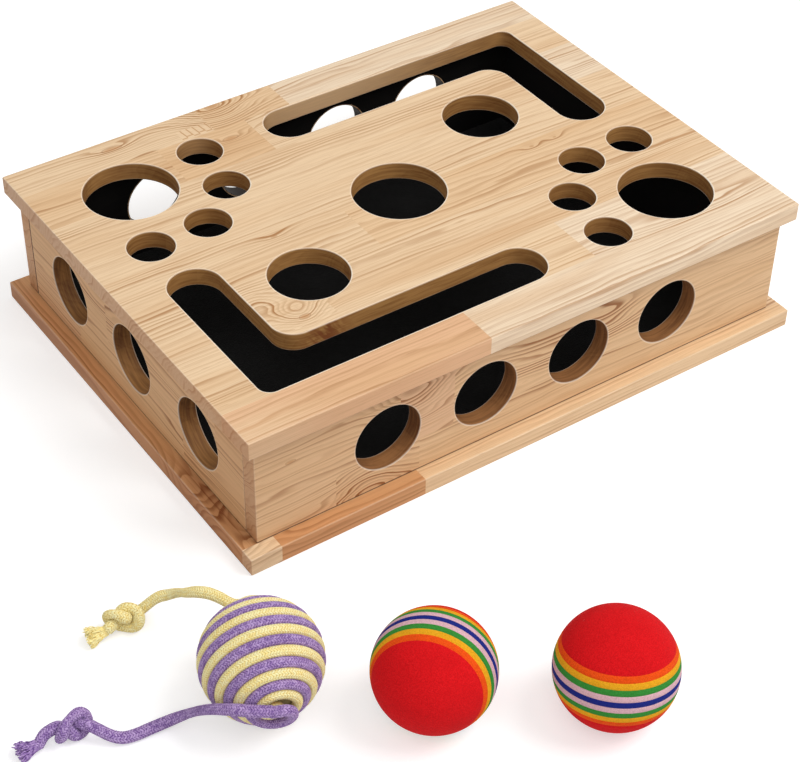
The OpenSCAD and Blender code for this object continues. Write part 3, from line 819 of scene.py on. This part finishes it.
    # cut-outs: darker sawn wall, end grain darkest, thin painted highlight along the eased rim
    bore = pen.attribute("bore")
    rim = pen.attribute("rim")
    facing = dict(zip("xyz", pen.add("ShaderNodeTexCoord", {}, {}, "Normal").split()))
    endGrain = abs(facing[look["axes"][0]]).rise(0.3, 0.95)
    marks = pen.noise(pen.vector(along * 0.05, across * 0.05, through * 0.8), 1.0, 3)
    line = late * 0.15 + marks.rise(0.3, 0.7) * 0.5 + endGrain * 0.2 + (three - 0.5) * 0.3
    sawn = line.mix(*(paint(code) for code in look["sawn"]))
    for *oval, share in look.get("cutPatches", []):
        near = patch(*oval) * abs(share)
        if share < 0:
            lines = pen.noise(pen.vector(along * 0.25 + through * 0.2, through * 0.1, 2.0), 1.0, 3)
            near = near * lines.rise(0.35, 0.55)
        sawn = near.mix(sawn, tones["tan" if share > 0 else "heart"])
    colour = bore.mix(colour, sawn)
    colour = (endGrain * (1 - bore) * 0.55).mix(colour, tones["end"])
    if "rimBack" in look:  # painted highlight, stronger where the rim faces the back
        rim = rim * (facing["y"].rise(-0.4, 0.3) * 0.7 + 0.3)
    colour = (rim * 0.95).mix(colour, tones["rim"])
    if "seam" in look:  # dark line where the wall stands on the base: a joint line, darkened further as painted contact shade
        colour = (axis["z"].rise(look["seam"] + 1.3, look["seam"] + 0.6) * 0.85).mix(colour, tones["seam"])
    # painted shade: the top's underside within the walls goes black, for the unlit inside of the box
    if "stain" in look:
        x, y = look["stain"]
        inside = (x / mm - abs(axis["x"])).rise(0, 1) * (y / mm - abs(axis["y"])).rise(0, 1)
        colour = (inside * facing["z"].rise(-0.4, -0.9)).mix(colour, tones["stain"])
    rough = 0.5 + late * 0.08 + fibre * 0.12 + bore * 0.15
    finishMaterial(pen, shader, colour, rough, fibre * 0.5 - late * 0.4 - pores * 0.7, 0.12 * mm, 0.5)
    return material


def insideShadeMaterial():  # near-black painted shade on the inside faces, for the unlit inside of the box, grain just visible
    material, pen, shader = newMaterial("blackStain", {"Specular IOR Level": 0.15})
    x, y, z = objectPlace(pen).split()
    fibre = pen.noise(pen.vector(x * 60, y * 60, z * 900), 1.0, 3)
    colour = fibre.rise(0.3, 0.75).mix(paint("#060505"), paint("#100d0b"))
    finishMaterial(pen, shader, colour, 0.75 + fibre * 0.2, fibre, 0.1 * mm, 0.4)
    return material


boards = {
    "ease": 0.45 * mm,        # rounding of the rims
    "topSize": (400 * mm, 297 * mm),
    "topHeight": (84 * mm, 96 * mm),
    "baseSize": (407 * mm, 304 * mm),
    "baseHeight": (0.0, 12 * mm),
    "wallHeight": (12 * mm, 84 * mm),
    "wallAt": (193.5 * mm, 142 * mm),
    "thick": 12 * mm,
    "corner": 0.4 * mm,       # bevel at the corners of the top and the base
    "wallCorner": 0.5 * mm,
    # how much painted highlight the outer edges and the rims of the cut-outs take
    "rims": {"top": (0.25, 1.0), "base": (0.15, 0.0), "long": (0.1, 0.4), "short": (0.1, 0.4),
             "back": (0.1, 0.05)},
    "backSawnShade": ("#2c221b", "#17120e"),  # stain has run into the back wall's holes
    # painted shade: the bores of the back wall's holes, seen at a grazing angle, darkened
    "pad": (-140, 91, 30.0), "toeReach": 59.5, "toeRadius": 14.75,
    "toeAngles": (-106.95, -66.65, -26.35, 13.95),
    "middle": 30.0, "round": (-92.5, -40.5, 25.0),
    "slot": {"corner": (-171.5, -119.5), "width": 34, "long": 33.5, "short": 2.5, "inner": 15, "outer": 8},
    "longHoles": (-104.25, -34.75, 34.75, 104.25), "shortHoles": (-79, 0, 79),
    "sideRadius": 22.5, "sideMid": 48,
    "backMove": (3, 3),       # of the back wall's holes, right and up
    "screwHole": 4.05,
    "screws": [(x, y) for x in (-139, -69.5, 0, 69.5, 139) for y in (-136, 136)]
              + [(x, y) for x in (-187.5, 187.5) for y in (-39.5, 39.5)],
}


def arc(x, y, r, start, stop):
    sweep = abs(stop - start)
    count = max(3, round(sweep / (3.75 if sweep >= 360 else 6)))
    angles = [math.radians(start + (stop - start) * i / count) for i in range(count + 1)]
    return [(x + r * math.cos(angle), y + r * math.sin(angle)) for angle in angles]


# an outline is a function that gives its points, grown by a distance
def circle(x, y, r):
    return lambda grow: arc(x * mm, y * mm, r * mm + grow, 0, 360)[:-1]


def halfTurn(outline):
    return lambda grow: [(-x, -y) for x, y in outline(grow)]


def rectangle(width, depth, chamfer):
    def outline(grow):
        x, y, c = width / 2 + grow, depth / 2 + grow, chamfer
        return [(x, c - y), (x, y - c), (x - c, y), (c - x, y),
                (-x, y - c), (-x, c - y), (c - x, -y), (x - c, -y)]
    return outline


def angledSlot(spec):
    x, y = (value * mm for value in spec["corner"])
    half = spec["width"] / 2 * mm
    inner, outer = spec["inner"] * mm, spec["outer"] * mm

    def outline(grow):
        return (arc(spec["long"] * mm - half, y + half, half + grow, -90, 90)
                + arc(x + 2 * half + inner, y + 2 * half + inner, inner - grow, 270, 180)
                + arc(x + half, spec["short"] * mm - half, half + grow, 0, 180)
                + arc(x + outer, y + outer, outer + grow, 180, 270))
    return outline


def fillPlan(loops):  # triangles of the flat between an outline and its holes
    points = [Vector(p) for loop in loops for p in loop]
    edges = []
    start = 0
    for loop in loops:
        edges += [(start + i, start + (i + 1) % len(loop)) for i in range(len(loop))]
        start += len(loop)
    result = delaunay_2d_cdt(points, edges, [], 0, 1e-9)
    kept = []
    for triangle in result[2]:
        x, y = (sum(result[0][i][n] for i in triangle) / 3 for n in (0, 1))
        inside = False
        for a, b in edges:
            (ax, ay), (bx, by) = points[a], points[b]
            if (ay > y) != (by > y) and x < (bx - ax) * (y - ay) / (by - ay) + ax:
                inside = not inside
        if inside:
            kept.append([result[3][i][0] for i in triangle])
    return kept


# one board with eased rims: place turns (u, v, w) into the frame, lining is the side that takes the second
# material, the black painted shade of the inside
def makeBoard(name, edge, holes, low, high, place, materials, rimShare, shadedSide=None):
    bm = bmesh.new()
    bore = bm.verts.layers.float.new("bore")
    rim = bm.verts.layers.float.new("rim")
    e = boards["ease"]
    # each ring of the eased rim: inset, height, and its share of the painted rim highlight
    section = [(2.2 * e, high, 0), (1.0 * e, high, 0.9), (0.3 * e, high - 0.3 * e, 1), (0, high - e, 0.7),
               (0, high - 1.8 * e, 0), (0, low + 1.8 * e, 0), (0, low + e, 0.7), (0.3 * e, low + 0.3 * e, 1),
               (e, low, 0.9), (2.2 * e, low, 0)]
    caps = {0: [], len(section) - 1: []}
    for n, outline in enumerate([edge] + holes):
        rings = []
        for inset, w, share in section:
            ring = []
            for u, v in outline(-inset if n == 0 else inset):
                vert = bm.verts.new(place(u, v, w))
                vert[rim] = share * rimShare[0 if n == 0 else 1]
                vert[bore] = 0.0 if n == 0 or inset > 0.5 * e else 1.0
                ring.append(vert)
            rings.append(ring)
        for k, (upper, lower) in enumerate(zip(rings, rings[1:])):
            for face in bridge(bm, upper, lower):
                face.material_index = 1 if n == 0 and shadedSide == 0 and k < 3 else 0
        for k in caps:
            caps[k].append(rings[k])
    triangles = fillPlan([edge(-2.2 * e)] + [hole(2.2 * e) for hole in holes])
    for k, rings in caps.items():
        verts = [vert for ring in rings for vert in ring]
        for triangle in triangles:
            face = bm.faces.new([verts[i] for i in triangle])
            face.material_index = 1 if shadedSide == k else 0
    bmesh.ops.recalc_face_normals(bm, faces=bm.faces)
    return meshFromBm(name, bm, materials, 0.9)


def makeBoards():
    spec = boards
    wallX, wallY = spec["wallAt"]
    thick = spec["thick"]
    stain = insideShadeMaterial()
    wood["top"]["stain"] = (wallX - thick / 2, wallY - thick / 2)
    wood["back"] = dict(wood["long"], sawn=spec["backSawnShade"])
    skins = {key: woodMaterial(key + "Wood", look) for key, look in wood.items()}
    px, py, pr = spec["pad"]
    paw = [circle(px, py, pr)]
    for angle in spec["toeAngles"]:
        turn = math.radians(angle)
        paw.append(circle(px + spec["toeReach"] * math.cos(turn), py + spec["toeReach"] * math.sin(turn),
                          spec["toeRadius"]))
    cuts = paw + [angledSlot(spec["slot"]), circle(*spec["round"])]
    cuts += [halfTurn(cut) for cut in cuts] + [circle(0, 0, spec["middle"])]

    def flat(u, v, w):
        return u, v, w

    topEdge = rectangle(*spec["topSize"], spec["corner"])
    top = makeBoard("top_board", topEdge, cuts, *spec["topHeight"], flat, [skins["top"]],
                    spec["rims"]["top"])
    settle(top, "box", "wood_top", "top_panel")
    baseEdge = rectangle(*spec["baseSize"], spec["corner"])
    screwHoles = [circle(x, y, spec["screwHole"]) for x, y in spec["screws"]]
    base = makeBoard("base_board", baseEdge, screwHoles, *spec["baseHeight"], flat, [skins["base"]],
                     spec["rims"]["base"])
    settle(base, "box", "wood_base", "base_panel")
    low, high = spec["wallHeight"]
    middle = (low + high) / 2
    up = spec["sideMid"] - middle / mm
    backRight, backUp = spec["backMove"]
    frontHoles = [circle(x, up, spec["sideRadius"]) for x in spec["longHoles"]]
    backHoles = [circle(x + backRight, up + backUp, spec["sideRadius"]) for x in spec["longHoles"]]
    shortHoles = [circle(y, up, spec["sideRadius"]) for y in spec["shortHoles"]]
    longEdge = rectangle(2 * wallX, high - low, spec["wallCorner"])
    shortEdge = rectangle(2 * (wallY - thick), high - low, spec["wallCorner"])
    makers = [
        ("front", longEdge, frontHoles, lambda u, v, w: (u, w - wallY, v + middle), "long"),
        ("back", longEdge, backHoles, lambda u, v, w: (u, wallY - w, v + middle), "back"),
        ("left", shortEdge, shortHoles, lambda u, v, w: (w - wallX, u, v + middle), "short"),
        ("right", shortEdge, [], lambda u, v, w: (wallX - w, u, v + middle), "short"),
    ]
    for side, edge, holes, place, key in makers:
        wall = makeBoard(side + "_wall_board", edge, holes, 0.0, thick, place, [skins[key], stain],
                         spec["rims"][key], 0)
        settle(wall, "box", "wood_wall", side + "_wall")
    print("boards made, top has", len(cuts), "cut-outs")


makeBoards()


# Scratch mat of needle felt on the floor of the box, its black standing in for the shade of the unlit inside
# as painted shade
mat = {"size": (361.4 * mm, 258.4 * mm), "height": (12 * mm, 15 * mm), "cells": (120, 86), "nap": 0.25 * mm}


def feltMaterial():
    material, pen, shader = newMaterial("blackFelt", {"Sheen Weight": 0.1, "Specular IOR Level": 0.1})
    place = objectPlace(pen)
    nap = pen.noise(place, 900, 4, 0.7)
    tuft = pen.noise(place, 120, 3)
    # painted shade: near-black felt for the unlit floor of the box
    colour = nap.rise(0.35, 0.75).mix(paint("#070707"), paint("#171615"))
    colour = (tuft.rise(0.4, 0.8) * 0.5).mix(colour, paint("#0c0a09"))
    finishMaterial(pen, shader, colour, 0.9 + nap * 0.1, nap, 0.5 * mm, 0.8)
    return material


def makeMat():
    wide, deep = mat["size"]
    low, high = mat["height"]
    columns, rows = mat["cells"]
    rng = np.random.default_rng(5)
    bumps = rng.uniform(-1, 1, (rows + 1, columns + 1)) * mat["nap"] * 0.5
    bm = bmesh.new()
    sheets = []
    for top in (True, False):
        grid = []
        for j in range(rows + 1):
            for i in range(columns + 1):
                onEdge = i in (0, columns) or j in (0, rows)
                z = high - mat["nap"] * (2.0 if onEdge else 1.0) + bumps[j, i] if top else low
                grid.append(bm.verts.new((wide * (i / columns - 0.5), deep * (j / rows - 0.5), z)))
        sheets.append(grid)
        for j in range(rows):
            for i in range(columns):
                a = j * (columns + 1) + i
                corners = [grid[a], grid[a + 1], grid[a + columns + 2], grid[a + columns + 1]]
                bm.faces.new(corners if top else corners[::-1])
    border = list(range(columns)) + [j * (columns + 1) + columns for j in range(rows)]
    border += [rows * (columns + 1) + i for i in range(columns, 0, -1)]
    border += [j * (columns + 1) for j in range(rows, 0, -1)]
    for a, b in zip(border, border[1:] + border[:1]):
        bm.faces.new((sheets[0][b], sheets[0][a], sheets[1][a], sheets[1][b]))
    bmesh.ops.recalc_face_normals(bm, faces=bm.faces)
    piece = meshFromBm("scratch_felt", bm, [feltMaterial()])
    settle(piece, "box", "mat", "scratch_mat")
    print("mat laid")


makeMat()


# Countersunk screws in the underside, one screw laid at every point
screw = {
    "head": 4.0 * mm, "shank": 2.0 * mm, "length": 28 * mm,
    "cross": (2.1 * mm, 0.45 * mm), "deep": 1.5 * mm,   # recess: reach, half width, depth
    "thread": 1.6 * mm, "root": 0.78,                   # pitch, and the root as a share of the shank
    "steps": 48,
}


def steelMaterial():
    material, pen, shader = newMaterial("zincSteel", {"Metallic": 1.0})
    place = objectPlace(pen)
    brush = pen.noise(place, 1500, 3)
    stain = pen.noise(place, 300, 2)
    colour = brush.rise(0.3, 0.7).mix(paint("#a9a79f"), paint("#c9c6bb"))
    colour = (stain.rise(0.55, 0.8) * 0.4).mix(colour, paint("#8d7f60"))
    finishMaterial(pen, shader, colour, 0.3 + brush * 0.2, brush, 0.05 * mm, 0.4)
    return material


def screwShape():
    bm = bmesh.new()
    reach, half = screw["cross"]
    plan = []
    for quarter in range(4):  # cross-shaped recess
        turn = math.pi / 2 * quarter
        for u, v in ((half, half), (half, reach), (-half, reach)):
            plan.append((u * math.cos(turn) - v * math.sin(turn), u * math.sin(turn) + v * math.cos(turn)))
    mouth = [bm.verts.new((x, y, 0)) for x, y in plan]
    floor = [bm.verts.new((x * 0.62, y * 0.62, screw["deep"])) for x, y in plan]
    bridge(bm, mouth, floor)
    bm.faces.new(floor)
    head, shank, length = screw["head"], screw["shank"], screw["length"]
    profile = [(head * 0.97, 0.0), (head, 0.06 * mm), (head, 0.3 * mm), (shank, 0.3 * mm + head - shank)]
    z = profile[-1][1] + 3 * mm
    root = shank * screw["root"]
    while z < length - 3 * mm:  # ribs of the thread
        profile += [(root, z), (shank, z + 0.5 * mm), (root, z + 1.0 * mm)]
        z += screw["thread"]
    profile.append((0.2 * mm, length))
    rings = [levelRing(bm, r, z, screw["steps"]) for r, z in profile]
    for low, high in zip(rings, rings[1:]):
        bridge(bm, low, high)
    bm.faces.new(rings[-1])
    edges = []
    for loop in (rings[0], mouth):
        edges += [bm.edges.get(pair) for pair in zip(loop, loop[1:] + loop[:1])]
    bmesh.ops.triangle_fill(bm, use_beauty=True, use_dissolve=False, edges=edges)
    bmesh.ops.recalc_face_normals(bm, faces=bm.faces)
    return meshFromBm("screwShape", bm, [])


def screwTree():
    tree, pen, given = newTree("screwRow", {"Screw": "Object", "Material": "Material"})
    shape = pen.add("GeometryNodeObjectInfo", {}, {"Object": given["Screw"]}, "Geometry")
    number = pen.add("GeometryNodeInputIndex")
    turn = pen.vector(0.0, 0.0, (number * 0.37).fract() * 1.5)
    row = pen.add("GeometryNodeInstanceOnPoints", {},
                  {"Points": given["Geometry"], "Instance": shape, "Rotation": turn})
    endTree(pen, row, given["Material"])
    return tree


def makeScrews():
    shape = screwShape()
    mesh = bpy.data.meshes.new("screwPoints")
    mesh.from_pydata([(x * mm, y * mm, 0) for x, y in boards["screws"]], [], [])
    row = growTree(addObject("base_screw_row", mesh), screwTree(),
                   {"Screw": shape, "Material": steelMaterial()})
    bpy.data.objects.remove(shape)
    settle(row, "box", "screw", "base_screws")
    print("screws set", len(boards["screws"]))


makeScrews()


# Dowels keep their CAD shape
def dowelMaterial():
    material, pen, shader = newMaterial("beechDowel", {"Specular IOR Level": 0.3})
    x, y, z = objectPlace(pen).split()
    fibre = pen.noise(pen.vector(x * 500, y * 500, z * 60), 1.0, 3)
    fleck = pen.noise(pen.vector(x * 900, y * 900, z * 200), 1.0, 1)
    colour = fibre.rise(0.3, 0.7).mix(paint("#d9b48a"), paint("#c79b6d"))
    colour = (fleck.rise(0.62, 0.75) * 0.5).mix(colour, paint("#a97a4c"))
    finishMaterial(pen, shader, colour, 0.6 + fibre * 0.2, fibre, 0.1 * mm, 0.5)
    return material


def dressDowels():
    skin = dowelMaterial()
    for node in ("corner_dowels", "top_dowels"):
        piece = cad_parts[node]
        piece.data.materials.clear()
        piece.data.materials.append(skin)
    print("dowels dressed")


dressDowels()


# Pale floor and soft light
studio = {
    "floor": 0.75, "glow": 0.45, "world": 0.50,
    "floorSize": 6, "floorDrop": 0.0003,
    # watts, size, place
    "lamps": {"key": (36.0, 1.5, (1.04, -1.09, 2.1)), "fill": (12.0, 1.5, (-1.1, -1.2, 1.7))},
}


def bareTree(holder):
    holder.use_nodes = True
    holder.node_tree.nodes.clear()
    return Wire(holder.node_tree)


def inSight(pen):  # 1 for rays that the camera sees, straight or by way of a shiny face
    rays = pen.add("ShaderNodeLightPath", {}, {}, "Is Camera Ray")
    seen = rays + rays.other("Is Glossy Ray") + rays.other("Is Transmission Ray")
    return seen.maths("MINIMUM", seen, 1.0)


def makeStudio(spec):
    mesh = bpy.data.meshes.new("floor")
    far, low = spec["floorSize"], -spec["floorDrop"]
    mesh.from_pydata([(-far, -far, low), (far, -far, low), (far, far, low), (-far, far, low)], [],
                     [(0, 1, 2, 3)])
    floor = addObject("floor", mesh)
    material = bpy.data.materials.new("paleFloor")
    pen = bareTree(material)
    plain = pen.add("ShaderNodeBsdfDiffuse", {}, {"Color": (spec["floor"],) * 3 + (1.0,)})
    glow = pen.add("ShaderNodeEmission", {},
                   {"Color": (1, 1, 1, 1), "Strength": inSight(pen) * spec["glow"]})
    both = pen.add("ShaderNodeAddShader", {}, {0: plain, 1: glow})
    end = pen.tree.nodes.new("ShaderNodeOutputMaterial")
    pen.tree.links.new(both.socket, end.inputs["Surface"])
    mesh.materials.append(material)
    world = bpy.data.worlds.new("softWorld")
    bpy.context.scene.world = world
    pen = bareTree(world)
    strength = inSight(pen) * (1 - spec["world"]) + spec["world"]
    sky = pen.add("ShaderNodeBackground", {}, {"Color": (1, 1, 1, 1), "Strength": strength})
    end = pen.tree.nodes.new("ShaderNodeOutputWorld")
    pen.tree.links.new(sky.socket, end.inputs["Surface"])
    for name, (watts, size, place) in spec["lamps"].items():
        light = bpy.data.lights.new(name, "AREA")
        light.energy = watts
        light.size = size
        lamp = bpy.data.objects.new(name, light)
        lamp.location = place
        lamp.rotation_euler = Vector(place).to_track_quat("Z", "Y").to_euler()
        bpy.context.scene.collection.objects.link(lamp)
    bpy.context.scene.view_settings.view_transform = "Standard"
    print("light set")


makeStudio(studio)
